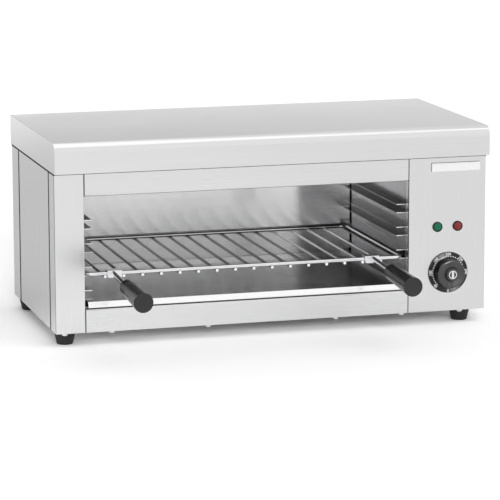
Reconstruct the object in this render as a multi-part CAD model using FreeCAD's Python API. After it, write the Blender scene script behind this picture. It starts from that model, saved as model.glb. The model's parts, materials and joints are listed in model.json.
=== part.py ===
import FreeCAD
import Part
import math
import os

# Countertop salamander grill with a pull-out wire rack and a crumb tray.
# Millimetres, +Z up, -Y is the front and +X is the right as seen from the front.
# Every piece is drawn from the casing: x from its middle, y back from its front face
# and z up from its bottom edge. Export then moves them all so that the origin is on the
# ground at the centre of the footprint.

# Casing
body_width = 600.0
body_depth = 282.0
skirt_bottom = 214.5
lid_height = 40.0
lid_nose = 12.0
lid_edge_radius = 1.2
sheet = 1.0
bend = 2.0
post_width = 40.0
control_width = 110.0
front_return = 31.5
rear_return = 45.0
rear_flange = 25.0
inner_return = 12.0
hem = 10.0
seam = 1.1
side_gap = 3.0
side_inset = 0.3
top_rail_bottom = 182.2
bottom_rail_height = 31.0
rail_flange = 15.0
slip = 0.05

# Feet and fasteners
foot_height = 18.1
foot_top_radius = 15.0
foot_bottom_radius = 10.7
foot_inset_left = 17.0
foot_inset_right = 27.5
foot_front_y = 25.0
foot_rear_inset = 24.0
foot_recess_radius = 6.5
foot_recess_depth = 8.0
foot_bolt_radius = 2.5
foot_bolt_head_radius = 4.6
foot_bolt_head_height = 3.2
foot_nut_width = 8.0
foot_nut_height = 4.0
screw_radius = 2.0
screw_head_radius = 4.0
screw_head_height = 3.6
screw_length = 6.0
screw_slot = 1.0
base_screw_y = 6.0
post_screw_x = 13.0
rail_screws_from_left = (37.0, 169.0)
rail_screws_from_right = (102.0, 8.0)
control_screw_x = 76.0
rear_screw_z = (40.0, 120.0, 190.0)
rear_screw_inset = 14.0
lid_screw_rise = 14.0
lid_screw_x = 100.0

# Grill cavity
cavity_gap = 1.0
back_wall_y = 260.0
back_wall_flange = 8.0
side_wall_tail = 10.0
floor_tail = 2.0
floor_front_y = 13.0
reflector_z = 205.0
reflector_front_y = 16.0

# Rack guides, four levels on each wall
guide_levels = 4
rack_level = 1
guide_first_z = 41.7
guide_pitch = 31.5
guide_height = 12.5
guide_lip = 14.0
guide_front_y = 14.0
guide_rear_y = 254.0

# Rack
rack_wire = 5.4
rack_left_play = 0.3
rack_right_play = 5.3
rack_lift = 0.5
rack_front_y = 5.0
rack_back_play = 2.3
rack_corner = 11.0
cross_wire = 4.0
cross_wire_count = 16
cross_wire_start = 24.8
cross_wire_end = 31.25
cross_wire_sink = 1.0

# Rack handles
clip_wire_gap = 0.765
clip_sheet = 1.5
clip_play = 0.3
clip_drop = 5.4
clip_reach = 12.8
clip_lip = 4.0
clip_corner = 3.0
handle_offset = 1.5
rod_diameter = 7.3
rivet_diameter = 4.0
handle_drop_angle = 2.4
handle_reach = 166.0
grip_length = 88.0
grip_rear_diameter = 21.0
grip_front_diameter = 26.0
grip_edge = 0.8
rod_in_grip = 40.0

# Crumb tray
tray_sheet = 0.8
tray_lift = 0.3
tray_side_play = 5.6
tray_front_y = 1.0
tray_back_play = 2.0
tray_height = 8.0
tray_lip_lean = 3.0
tray_hem = 2.4

# Heating elements
element_diameter = 8.0
element_drop = 13.0
element_rows = (60.0, 160.0)
element_leg_spacing = 50.0
element_left_play = 17.0
element_tail = 16.0
terminal_diameter = 3.0
terminal_length = 14.0
bush_radius = 8.0
bush_inner = 2.0
bush_outer = 7.0
hanger_x = (-150.0, 80.0)
hanger_foot = 10.0
hanger_margin = 10.0

# Controls
control_offset = 1.5
lamp_offset = -1.0
lamp_spacing = 29.0
lamp_z = 117.0
lamp_ring_radius = 6.9
lamp_ring_height = 1.6
lamp_body_radius = 6.3
lamp_body_length = 28.0
lens_radius = 5.6
lens_dome = 2.4
lens_seat = 4.0
dial_z = 53.5
dial_radius = 28.3
dial_thickness = 2.0
dial_bore = 5.0
knob_gap = 0.5
knob_radius = 20.2
knob_front_radius = 19.8
knob_depth = 14.5
knob_edge = 2.5
boss_radius = 10.5
boss_front_radius = 8.4
boss_height = 4.0
knob_dish = 0.6
pointer_width = 1.0
pointer_depth = 0.6
cap_radius = 5.8
cap_depth = 2.4
cap_rise = 0.4
cap_ring = 1.3
cap_bar = 3.4
cap_recess = 0.9
shaft_radius = 3.0
shaft_in_knob = 12.0
shaft_in_body = 9.0
body_bore_depth = 11.0
panel_hole_play = 0.2
thermostat_size = 44.0
thermostat_length = 35.0
blade_width = 6.0
blade_sheet = 0.8
blade_length = 8.0
plate_width = 70.0
plate_height = 12.0
plate_sheet = 0.8
plate_right = 8.5
plate_drop = 9.3
plate_corner = 0.8

# Sensing bulb and its capillary
bulb_radius = 3.0
bulb_length = 80.0
bulb_front_y = 70.0
bulb_wall_gap = 20.0
bulb_ceiling_gap = 1.2
capillary_radius = 1.0
capillary_bend = 10.0
bulb_clip_inset = 15.0
clip_strap = 1.0
clip_strap_width = 6.0
capillary_x = -15.0
capillary_z = 12.0

# Mains connection
gland_x = 72.0
gland_z = 35.0
gland_bore = 4.0
gland_thread = 8.0
gland_reach = 20.0
gland_hex = 19.0
gland_hex_depth = 6.0
gland_tail = 10.0
gland_nut_depth = 5.0
gland_nut_hex = 22.0
block_x = 24.0
block_width = 48.0
block_depth = 18.0
block_height = 20.0
block_rear_gap = 58.0
block_poles = 3

# Leads in the control bay: lanes behind the thermostat, and the rises and runs between them
wire_radius = 1.5
wire_bend = 9.0
lead_outer_offset = 32.0
lead_lane_first = 36.0
lead_lane_pitch = 15.0
lead_slant = 25.0
lead_rise = 28.0
lead_tab_run = 18.0
lead_block_run = 16.0
lead_block_rise = 20.0
element_lead_drop = 45.0
element_link_reach = 22.0
earth_run = 35.0
earth_reach = 65.0

# Vents
vent_slots = 6
vent_width = 60.0
vent_height = 3.0
vent_pitch = 9.0
vent_x = 20.0
vent_z = 90.0

# Places that follow from the sizes above
left = -body_width / 2
right = body_width / 2
lid_top = skirt_bottom + lid_height
body_top = lid_top - sheet
post_edge = left + post_width
panel_edge = right - control_width
wall_left = post_edge - sheet
wall_right = panel_edge + sheet
rail_left = post_edge + seam
rail_right = panel_edge - seam
base_top = 2 * sheet
rear_panel_y = body_depth - 2 * sheet
floor_top = bottom_rail_height + sheet
wall_rear_y = back_wall_y + side_wall_tail
floor_rear_y = wall_rear_y + floor_tail
rack_left_x = wall_left + sheet + rack_left_play + rack_wire / 2
rack_right_x = wall_right - sheet - rack_right_play - rack_wire / 2
rack_rear_y = back_wall_y - rack_back_play - rack_wire / 2
rack_z = guide_first_z + rack_level * guide_pitch + sheet + rack_lift + rack_wire / 2
cross_first_x = rack_left_x + cross_wire_start
cross_wire_pitch = (rack_right_x - cross_wire_end - cross_first_x) / (cross_wire_count - 1)
clip_width = cross_wire_pitch - cross_wire - 2 * clip_wire_gap
cross_z = rack_z - (rack_wire + cross_wire) / 2 + cross_wire_sink
left_clip_x = cross_first_x + cross_wire_pitch / 2
right_clip_x = cross_first_x + (cross_wire_count - 1.5) * cross_wire_pitch
clip_front_y = rack_front_y - rack_wire / 2 - clip_play - clip_sheet
element_z = reflector_z - element_drop
control_x = (panel_edge + right) / 2 + control_offset
shaft_back_y = sheet + shaft_in_body
knob_back_y = -dial_thickness - knob_gap
knob_front_y = knob_back_y - knob_depth
gland_y = rear_panel_y + sheet
foot_left_x = left + foot_inset_left
foot_right_x = right - foot_inset_right
foot_rear_y = body_depth - foot_rear_inset

# The handle grips reach furthest forwards and the cable gland furthest back.
drop = math.radians(handle_drop_angle)
grip_flat = grip_front_diameter / 2 - grip_edge
front_reach = (handle_reach - grip_edge) * math.cos(drop) + grip_flat * math.sin(drop) + grip_edge
front_edge_y = clip_front_y - front_reach
rear_edge_y = gland_y + gland_reach
footprint_shift = -(front_edge_y + rear_edge_y) / 2

X = FreeCAD.Vector(1, 0, 0)
Y = FreeCAD.Vector(0, 1, 0)
Z = FreeCAD.Vector(0, 0, 1)


def vec(x, y, z):
    return FreeCAD.Vector(x, y, z)


def block(x0, x1, y0, y1, z0, z1):
    return Part.makeBox(x1 - x0, y1 - y0, z1 - z0, vec(x0, y0, z0))


def rod(radius, start, end):
    return Part.makeCylinder(radius, (end - start).Length, start, end - start)


def join(pieces):
    return pieces[0].multiFuse(pieces[1:]).removeSplitter()


def drill(shape, radius, start, end):
    return shape.cut(rod(radius, start, end))


def hexagon(width, start, end):
    corner = width / math.sqrt(3)
    turns = [i * math.pi / 3 for i in range(7)]
    ring = [vec(corner * math.cos(turn), corner * math.sin(turn), 0) for turn in turns]
    prism = Part.Face(Part.makePolygon(ring)).extrude(vec(0, 0, (end - start).Length))
    prism.Placement = FreeCAD.Placement(start, FreeCAD.Rotation(Z, end - start))
    return prism


def edges_along(shape, axis, **fixed):
    """Straight edges along an axis whose other coordinates are the ones given."""
    found = []
    for edge in shape.Edges:
        ends = [v.Point for v in edge.Vertexes]
        if len(ends) != 2:
            continue
        run = ends[1] - ends[0]
        if run.Length < 1e-6 or abs(abs(run.normalize().dot(axis)) - 1) > 1e-6:
            continue
        if all(abs(getattr(p, name) - value) < 1e-4 for p in ends for name, value in fixed.items()):
            found.append(edge)
    return found


def rounded(shape, radius, *edge_lists):
    edges = [edge for edges in edge_lists for edge in edges]
    return shape.makeFillet(radius, edges)


def bent_rod(points, radius, corner, closed=False):
    """Round bar along straight runs that are joined by tangent arcs of one radius."""
    count = len(points)
    corners = range(count) if closed else range(1, count - 1)
    starts = {}
    ends = {}
    pieces = []
    for i in corners:
        before, here, after = points[i - 1], points[i], points[(i + 1) % count]
        into = (here - before).normalize()
        out = (after - here).normalize()
        turn = into.getAngle(out)
        setback = corner * math.tan(turn / 2)
        ends[i] = here - into * setback
        starts[i] = here + out * setback
        axis = into.cross(out).normalize()
        centre = ends[i] + axis.cross(into) * corner
        section = Part.Face(Part.Wire(Part.makeCircle(radius, ends[i], into)))
        pieces.append(section.revolve(centre, axis, math.degrees(turn)))
    for i in range(count if closed else count - 1):
        j = (i + 1) % count
        pieces.append(rod(radius, starts.get(i, points[i]), ends.get(j, points[j])))
    return join(pieces)


def pan_screw(head, inward):
    """Slotted pan-head screw whose head bears at a point, with its shank pointing inward."""
    dome_drop = screw_head_height / 2
    screw = Part.makeCylinder(screw_head_radius, screw_head_height, vec(0, 0, -screw_head_height))
    rim = [edge for edge in screw.Edges if abs(edge.BoundBox.ZMax + screw_head_height) < 1e-6]
    screw = screw.makeFillet(dome_drop, rim)
    slot = block(-screw_head_radius, screw_head_radius, -screw_slot / 2, screw_slot / 2,
                 -screw_head_height, -screw_head_height + dome_drop)
    shank = Part.makeCylinder(screw_radius, screw_length)
    screw = screw.fuse(shank).removeSplitter().cut(slot)
    screw.Placement = FreeCAD.Placement(head, FreeCAD.Rotation(Z, inward))
    return screw


def screw_holes(shape, heads, inward):
    for head in heads:
        shape = drill(shape, screw_radius + slip, head - inward * sheet, head + inward * screw_length)
    return shape


# Where the fasteners stand
front_base_heads = [vec(left + post_screw_x, base_screw_y, 0)]
front_base_heads += [vec(post_edge + x, base_screw_y, 0) for x in rail_screws_from_left]
front_base_heads += [vec(panel_edge - x, base_screw_y, 0) for x in rail_screws_from_right]
front_base_heads += [vec(panel_edge + control_screw_x, base_screw_y, 0)]
corner_base_heads = [vec(side * (right - hem), body_depth - hem / 2 - sheet, 0) for side in (-1, 1)]
side_base_heads = [vec(side * (right - hem / 2 - sheet), body_depth / 2, 0) for side in (-1, 1)]
base_heads = front_base_heads + corner_base_heads + side_base_heads
rear_heads = [vec(side * (right - rear_screw_inset), body_depth, z) for side in (-1, 1) for z in rear_screw_z]
lid_heads = [vec(side * x, body_depth + sheet, skirt_bottom + lid_screw_rise)
             for side in (-1, 1) for x in (lid_screw_x, right - rear_screw_inset)]
foot_places = {
    "front_left": (foot_left_x, foot_front_y),
    "front_right": (foot_right_x, foot_front_y),
    "rear_left": (foot_left_x, foot_rear_y),
    "rear_right": (foot_right_x, foot_rear_y),
}


def foot_holes(shape):
    for x, y in foot_places.values():
        shape = drill(shape, foot_bolt_radius + slip, vec(x, y, -sheet), vec(x, y, base_top + sheet))
    return shape


def top_cover():
    rear = body_depth + sheet
    outer = block(left - sheet, right + sheet, -lid_nose, rear, skirt_bottom, lid_top)
    outer = rounded(outer, lid_nose, edges_along(outer, X, y=-lid_nose, z=lid_top))
    for side in (left - sheet, right + sheet):
        rim = [edge for edge in outer.Edges
               if abs(edge.BoundBox.XMin - side) < 1e-4 and abs(edge.BoundBox.XMax - side) < 1e-4
               and edge.BoundBox.YMin < rear - 1e-4 and edge.BoundBox.ZMax > skirt_bottom + 1e-4]
        outer = outer.makeFillet(lid_edge_radius, rim)
    hollow = block(left, right, -lid_nose + sheet, body_depth, skirt_bottom + sheet, body_top)
    hollow = rounded(hollow, lid_nose - sheet, edges_along(hollow, X, y=-lid_nose + sheet, z=body_top))
    mouth = block(left, right, 0, body_depth, skirt_bottom - sheet, skirt_bottom + 2 * sheet)
    return screw_holes(outer.cut(hollow).cut(mouth), lid_heads, -Y)


def plate_slot(shape, outer_x, inner_x, y0, y1):
    """Clear the base plate's edge out of folds that stand inside an outer skin."""
    skin = outer_x + math.copysign(sheet, inner_x - outer_x)
    x0, x1 = sorted((skin, inner_x))
    return shape.cut(block(x0, x1, y0, y1, sheet, base_top))


def front_corner(inner_x, outer_x):
    """Folded front casing from the opening's edge to the outer side, facing forwards."""
    x0, x1 = sorted((inner_x, outer_x))
    inner = sorted((inner_x, inner_x + math.copysign(sheet, outer_x - inner_x)))
    outer = sorted((outer_x, outer_x + math.copysign(sheet, inner_x - outer_x)))
    tuck = sorted((outer_x, outer_x + math.copysign(hem, inner_x - outer_x)))
    shape = join([
        block(x0, x1, 0, sheet, 0, body_top),
        block(*inner, 0, inner_return, 0, body_top),
        block(*outer, 0, front_return, 0, body_top),
        block(*tuck, front_return - sheet, front_return, 0, body_top),
        block(x0, x1, 0, front_return, 0, sheet),
        block(x0, x1, 0, rail_flange, body_top - sheet, body_top),
    ])
    shape = rounded(shape, bend, edges_along(shape, Z, x=outer_x, y=0))
    shape = rounded(shape, sheet, edges_along(shape, Z, x=inner_x, y=0))
    shape = plate_slot(shape, outer_x, inner_x, sheet, front_return)
    return foot_holes(screw_holes(shape, front_base_heads, Z))


def front_left_post():
    return front_corner(post_edge, left)


def control_panel():
    shape = front_corner(panel_edge, right)
    holes = [(control_x, dial_z, dial_bore + slip)]
    holes += [(x, lamp_z, lamp_body_radius + panel_hole_play) for x in lamp_places()]
    for x, z, radius in holes:
        shape = drill(shape, radius, vec(x, -sheet, z), vec(x, 2 * sheet, z))
    return shape


def rear_corner(side):
    outer_x = side * right
    skin = sorted((outer_x, outer_x - side * sheet))
    tuck = sorted((outer_x, outer_x - side * hem))
    flange = sorted((outer_x, outer_x - side * rear_flange))
    foot_pad = sorted((outer_x, outer_x - side * post_width))
    front = body_depth - rear_return
    shape = join([
        block(*skin, front, body_depth, 0, body_top),
        block(*tuck, front, front + sheet, 0, body_top),
        block(*flange, body_depth - sheet, body_depth, 0, body_top),
        block(*foot_pad, front, body_depth, 0, sheet),
        block(*flange, front, body_depth, body_top - sheet, body_top),
    ])
    shape = rounded(shape, bend, edges_along(shape, Z, x=outer_x, y=body_depth))
    shape = plate_slot(shape, outer_x, outer_x - side * post_width, front, body_depth - sheet)
    shape = foot_holes(screw_holes(shape, corner_base_heads, Z))
    return screw_holes(screw_holes(shape, rear_heads, -Y), lid_heads, -Y)


def side_panel(side):
    outer_x = side * (right - side_inset)
    skin = sorted((outer_x, outer_x - side * sheet))
    depth = sorted((outer_x, outer_x - side * hem))
    y0 = front_return + side_gap
    y1 = body_depth - rear_return - side_gap
    shape = join([
        block(*skin, y0, y1, 0, body_top),
        block(*depth, y0, y0 + sheet, 0, body_top),
        block(*depth, y1 - sheet, y1, 0, body_top),
        block(*depth, y0, y1, 0, sheet),
        block(*depth, y0, y1, body_top - sheet, body_top),
    ])
    for y in (y0, y1):
        shape = rounded(shape, bend, edges_along(shape, Z, x=outer_x, y=y))
    shape = plate_slot(shape, outer_x, outer_x - side * hem, y0, y1)
    return screw_holes(shape, side_base_heads, Z)


def rear_panel():
    x1 = right - 2 * sheet
    shape = block(-x1, x1, rear_panel_y, rear_panel_y + sheet, base_top, body_top - sheet)
    for i in range(vent_slots):
        z = vent_z + i * vent_pitch
        shape = shape.cut(block(panel_edge + vent_x, panel_edge + vent_x + vent_width, rear_panel_y - sheet,
                                rear_panel_y + 2 * sheet, z, z + vent_height))
    x = panel_edge + gland_x
    shape = drill(shape, gland_thread + slip, vec(x, rear_panel_y - sheet, gland_z),
                  vec(x, body_depth, gland_z))
    return screw_holes(screw_holes(shape, rear_heads, -Y), lid_heads, -Y)


def top_front_rail():
    shape = join([
        block(rail_left, rail_right, 0, sheet, top_rail_bottom, body_top),
        block(rail_left, rail_right, 0, rail_flange, top_rail_bottom, top_rail_bottom + sheet),
        block(rail_left, rail_right, 0, rail_flange, body_top - sheet, body_top),
    ])
    return rounded(shape, bend, edges_along(shape, X, y=0, z=top_rail_bottom))


def bottom_front_rail():
    shape = join([
        block(rail_left, rail_right, 0, sheet, 0, bottom_rail_height),
        block(rail_left, rail_right, 0, rail_flange, 0, sheet),
        block(rail_left, rail_right, 0, rail_flange, bottom_rail_height - sheet, bottom_rail_height),
    ])
    shape = rounded(shape, bend, edges_along(shape, X, y=0, z=bottom_rail_height))
    return screw_holes(shape, front_base_heads, Z)


def base_plate():
    x1 = right - side_inset - sheet - slip
    shape = block(-x1, x1, sheet, body_depth - sheet, sheet, base_top)
    for side in (-1, 1):
        foot = sorted((side * x1, side * (right - bend)))
        for y0, y1 in ((sheet, bend), (body_depth - bend, body_depth - sheet)):
            shape = shape.cut(block(*foot, y0, y1, 0, 2 * base_top))
    return foot_holes(screw_holes(shape, base_heads, Z))


def name_plate():
    x1 = right - plate_right
    z1 = skirt_bottom - plate_drop
    x0 = x1 - plate_width
    z0 = z1 - plate_height
    shape = block(x0, x1, -plate_sheet, 0, z0, z1)
    corners = [edges_along(shape, Y, x=x, z=z) for x in (x0, x1) for z in (z0, z1)]
    return rounded(shape, plate_corner, *corners)


def rubber_foot(x, y):
    shape = Part.makeCone(foot_bottom_radius, foot_top_radius, foot_height, vec(x, y, -foot_height))
    shape = shape.makeFillet(sheet, [e for e in shape.Edges if abs(e.BoundBox.ZMax + foot_height) < 1e-6])
    ground = vec(x, y, -foot_height)
    shape = drill(shape, foot_recess_radius, ground, vec(x, y, foot_recess_depth - foot_height))
    return drill(shape, foot_bolt_radius + slip, ground, vec(x, y, sheet))


def foot_bolt(x, y):
    seat = foot_recess_depth - foot_height
    tip = base_top + foot_nut_height + sheet
    head = rod(foot_bolt_head_radius, vec(x, y, seat - foot_bolt_head_height), vec(x, y, seat))
    shank = rod(foot_bolt_radius, vec(x, y, seat), vec(x, y, tip))
    slot = block(x - foot_bolt_head_radius, x + foot_bolt_head_radius, y - screw_slot / 2, y + screw_slot / 2,
                 seat - foot_bolt_head_height, seat - foot_bolt_head_height / 2)
    return join([head, shank]).cut(slot)


def foot_nut(x, y):
    nut = hexagon(foot_nut_width, vec(x, y, base_top), vec(x, y, base_top + foot_nut_height))
    return drill(nut, foot_bolt_radius + slip, vec(x, y, 0), vec(x, y, 2 * (base_top + foot_nut_height)))


def side_wall(side):
    face = wall_left if side < 0 else wall_right
    skin = sorted((face, face + side * sheet))
    foot = sorted((face, face + side * (sheet + hem)))
    top = reflector_z + sheet + hem
    shape = join([
        block(*skin, sheet, wall_rear_y, base_top, top),
        block(*foot, sheet + inner_return, wall_rear_y, base_top, base_top + sheet),
        block(*foot, wall_rear_y - sheet, wall_rear_y, base_top, top),
    ])
    if side > 0:
        for y in leg_rows():
            shape = drill(shape, element_diameter / 2 + sheet + slip, vec(face - sheet, y, element_z),
                          vec(face + 2 * sheet, y, element_z))
        gate = capillary_points()[2]
        shape = drill(shape, 2 * capillary_radius, vec(face - sheet, gate.y, gate.z),
                      vec(face + 2 * sheet, gate.y, gate.z))
    return shape


def back_wall():
    x0 = wall_left + cavity_gap
    x1 = wall_right - cavity_gap
    y1 = back_wall_y + back_wall_flange
    shape = join([
        block(x0, x1, back_wall_y, back_wall_y + sheet, floor_top, reflector_z),
        block(x0, x1, back_wall_y, y1, floor_top, floor_top + sheet),
        block(x0, x0 + sheet, back_wall_y, y1, floor_top, reflector_z),
        block(x1 - sheet, x1, back_wall_y, y1, floor_top, reflector_z),
    ])
    return rounded(shape, sheet, *(edges_along(shape, Z, x=x, y=back_wall_y) for x in (x0, x1)))


def cavity_floor():
    z0 = bottom_rail_height - hem
    return join([
        block(wall_left, wall_right, floor_front_y, floor_rear_y, bottom_rail_height, floor_top),
        block(wall_left, wall_left + sheet, rail_flange + slip, floor_rear_y, z0, floor_top),
        block(wall_right - sheet, wall_right, rail_flange + slip, floor_rear_y, z0, floor_top),
    ])


def cavity_reflector():
    y1 = back_wall_y + back_wall_flange
    top = reflector_z + sheet + hem
    return join([
        block(wall_left, wall_right, reflector_front_y, y1, reflector_z, reflector_z + sheet),
        block(wall_left, wall_left + sheet, reflector_front_y, y1, reflector_z, top),
        block(wall_right - sheet, wall_right, reflector_front_y, y1, reflector_z, top),
        block(wall_left, wall_right, reflector_front_y, reflector_front_y + sheet, reflector_z, top),
    ])


def rack_guide(side, level):
    """Channel on a cavity wall, open towards the rack."""
    face = wall_left if side < 0 else wall_right
    z0 = guide_first_z + level * guide_pitch
    z1 = z0 + guide_height
    web = sorted((face, face - side * sheet))
    flange = sorted((face, face - side * guide_lip))
    return join([
        block(*web, guide_front_y, guide_rear_y, z0, z1),
        block(*flange, guide_front_y, guide_rear_y, z0, z0 + sheet),
        block(*flange, guide_front_y, guide_rear_y, z1 - sheet, z1),
    ])


def leg_rows():
    return [row + offset for row in element_rows for offset in (0, element_leg_spacing)]


def heating_element(row):
    """Hairpin sheath whose two cold ends pass through the right wall."""
    far = wall_left + element_left_play
    near = wall_right + element_tail
    y1 = row + element_leg_spacing
    corners = [vec(near, row, element_z), vec(far, row, element_z),
               vec(far, y1, element_z), vec(near, y1, element_z)]
    sheath = bent_rod(corners, element_diameter / 2, element_leg_spacing / 2 - slip)
    pins = [rod(terminal_diameter / 2, vec(near, y, element_z), vec(near + terminal_length, y, element_z))
            for y in (row, y1)]
    return join([sheath] + pins)


def element_bush(y):
    outer = wall_right + sheet
    shape = join([
        rod(bush_radius, vec(wall_right - bush_inner, y, element_z), vec(wall_right, y, element_z)),
        rod(element_diameter / 2 + sheet, vec(wall_right, y, element_z), vec(outer, y, element_z)),
        hexagon(2 * bush_radius, vec(outer, y, element_z), vec(outer + bush_outer, y, element_z)),
    ])
    return drill(shape, element_diameter / 2 + slip, vec(wall_right - bush_outer, y, element_z),
                 vec(outer + 2 * bush_outer, y, element_z))


def element_hanger(x):
    rows = leg_rows()
    y0 = rows[0] - hanger_margin
    y1 = rows[-1] + hanger_margin
    bottom = element_z - element_diameter / 2 - 2 * sheet
    shape = join([
        block(x, x + sheet, y0, y1, bottom, reflector_z),
        block(x, x + hanger_foot, y0, y1, reflector_z - sheet, reflector_z),
    ])
    for y in rows:
        shape = drill(shape, element_diameter / 2 + slip, vec(x - sheet, y, element_z),
                      vec(x + 2 * sheet, y, element_z))
    return shape


def rack_frame():
    loop = [vec(rack_left_x, rack_front_y, rack_z), vec(rack_right_x, rack_front_y, rack_z),
            vec(rack_right_x, rack_rear_y, rack_z), vec(rack_left_x, rack_rear_y, rack_z)]
    return bent_rod(loop, rack_wire / 2, rack_corner, closed=True)


def rack_cross_wires():
    """Thin wires that run from front to back, pressed into the frame wire from below."""
    y0 = rack_front_y - rack_wire / 2
    y1 = rack_rear_y + rack_wire / 2
    frame = rack_frame()
    places = [cross_first_x + i * cross_wire_pitch for i in range(cross_wire_count)]
    return group(rod(cross_wire / 2, vec(x, y0, cross_z), vec(x, y1, cross_z)).cut(frame) for x in places)


def tilt(shape):
    """Lean a handle piece down from where its rod meets the clip."""
    shape.rotate(vec(0, clip_front_y, rack_z), X, handle_drop_angle)
    return shape


def handle_clip(x, rod_x):
    """Strip hooked over the rack's front wire, with a hole for the handle's rod in its front."""
    x0 = x - clip_width / 2
    x1 = x + clip_width / 2
    y0 = clip_front_y
    y1 = clip_front_y + clip_reach
    z0 = rack_z - clip_drop
    z1 = rack_z + rack_wire / 2 + clip_play + clip_sheet
    shape = join([
        block(x0, x1, y0, y0 + clip_sheet, z0, z1),
        block(x0, x1, y0, y1, z1 - clip_sheet, z1),
        block(x0, x1, y1 - clip_sheet, y1, z1 - clip_lip, z1),
    ])
    shape = rounded(shape, clip_sheet, edges_along(shape, X, y=y0, z=z1), edges_along(shape, X, y=y1, z=z1))
    shape = rounded(shape, clip_corner, edges_along(shape, Y, x=x0, z=z0), edges_along(shape, Y, x=x1, z=z0))
    hole = rod(rivet_diameter / 2 + slip, vec(rod_x, y0 - clip_sheet, rack_z),
               vec(rod_x, y0 + 2 * clip_sheet, rack_z))
    return shape.cut(tilt(hole))


def grip_rear_y():
    return clip_front_y - handle_reach + grip_length


def handle_rod(x):
    seat = vec(x, clip_front_y - clip_play, rack_z)
    stem = rod(rod_diameter / 2, seat, vec(x, grip_rear_y() - rod_in_grip, rack_z))
    rivet = rod(rivet_diameter / 2, seat, vec(x, clip_front_y + clip_sheet - clip_play, rack_z))
    return tilt(join([stem, rivet]))


def handle_grip(x):
    front = vec(x, clip_front_y - handle_reach, rack_z)
    shape = Part.makeCone(grip_front_diameter / 2, grip_rear_diameter / 2, grip_length, front, Y)
    shape = shape.makeFillet(grip_edge, [e for e in shape.Edges if len(e.Vertexes) == 1])
    bore_end = vec(x, grip_rear_y() - rod_in_grip - slip, rack_z)
    shape = drill(shape, rod_diameter / 2 + slip, vec(x, grip_rear_y() + sheet, rack_z), bore_end)
    return tilt(shape)


def crumb_tray():
    """Shallow pan with a leaning front lip that ends in a rolled hem."""
    x0 = wall_left + tray_side_play
    x1 = wall_right - tray_side_play
    y0 = tray_front_y
    y1 = back_wall_y - tray_back_play
    z0 = floor_top + tray_lift
    z1 = z0 + tray_height
    lean = y0 + tray_lip_lean
    lip = [vec(x0, y0, z0 + tray_hem), vec(x0, lean, z1), vec(x0, lean + tray_sheet, z1),
           vec(x0, y0 + tray_sheet, z0 + tray_sheet), vec(x0, y0, z0 + tray_sheet),
           vec(x0, y0, z0 + tray_hem)]
    hem_y = y0 + tray_hem / 2
    hem_z = z0 + tray_hem / 2
    pieces = [
        block(x0, x1, hem_y, y1, z0, z0 + tray_sheet),
        block(x0, x0 + tray_sheet, lean, y1, z0, z1),
        block(x1 - tray_sheet, x1, lean, y1, z0, z1),
        block(x0, x1, y1 - tray_sheet, y1, z0, z1),
        Part.Face(Part.makePolygon(lip)).extrude(vec(x1 - x0, 0, 0)),
        rod(tray_hem / 2, vec(x0, hem_y, hem_z), vec(x1, hem_y, hem_z)),
    ]
    return join(pieces)


def dial_plate():
    shape = rod(dial_radius, vec(control_x, -dial_thickness, dial_z), vec(control_x, 0, dial_z))
    rim = [e for e in shape.Edges if abs(e.BoundBox.YMin + dial_thickness) < 1e-6 and len(e.Vertexes) == 1
           and e.BoundBox.YMax < -dial_thickness / 2]
    shape = shape.makeFillet(dial_thickness / 2, rim)
    return drill(shape, dial_bore, vec(control_x, -2 * dial_thickness, dial_z),
                 vec(control_x, dial_thickness, dial_z))


def turned(profile):
    """Solid of revolution about the knob's axis, from (radius, y) points."""
    ring = [vec(control_x + r, y, dial_z) for r, y in profile]
    return Part.Face(Part.makePolygon(ring + ring[:1])).revolve(vec(control_x, 0, dial_z), Y, 360)


def thermostat_knob():
    boss_base = knob_front_y + knob_dish
    boss_front = knob_front_y - boss_height
    shape = turned([
        (0, knob_back_y), (knob_radius, knob_back_y), (knob_front_radius, knob_front_y),
        (boss_radius, boss_base), (boss_front_radius, boss_front), (0, boss_front),
    ])
    shape = rounded(shape, knob_edge, [e for e in shape.Edges if len(e.Vertexes) == 1
                                       and abs(e.BoundBox.YMax - knob_front_y) < 1e-3])
    floor_y = boss_front + cap_depth
    shape = drill(shape, cap_radius + slip, vec(control_x, boss_front - sheet, dial_z),
                  vec(control_x, floor_y, dial_z))
    shape = drill(shape, shaft_radius + slip, vec(control_x, knob_back_y + sheet, dial_z),
                  vec(control_x, knob_back_y - shaft_in_knob, dial_z))
    pointer = block(control_x - pointer_width / 2, control_x + pointer_width / 2, knob_front_y - sheet,
                    boss_base + pointer_depth, dial_z - knob_front_radius, dial_z - boss_radius)
    return shape.cut(pointer)


def knob_cap():
    front = knob_front_y - boss_height - cap_rise
    back = knob_front_y - boss_height + cap_depth
    shape = rod(cap_radius, vec(control_x, front, dial_z), vec(control_x, back, dial_z))
    well = rod(cap_radius - cap_ring, vec(control_x, front - sheet, dial_z),
               vec(control_x, front + cap_recess, dial_z))
    bar = block(control_x - cap_bar / 2, control_x + cap_bar / 2, front - sheet, back, dial_z - cap_radius,
                dial_z + cap_radius)
    return shape.cut(well.cut(bar))


def thermostat_shaft():
    return rod(shaft_radius, vec(control_x, knob_back_y - shaft_in_knob + slip, dial_z),
               vec(control_x, shaft_back_y, dial_z))


def thermostat_blades():
    """Places of the four tabs on the back of the thermostat: two feed and two lamp tabs."""
    half = thermostat_size / 2
    inner = half / 3
    outer = half - blade_width / 2 - sheet
    return [(control_x - inner, dial_z + inner), (control_x + inner, dial_z + inner),
            (control_x - outer, dial_z - inner), (control_x + outer, dial_z - inner)]


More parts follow.
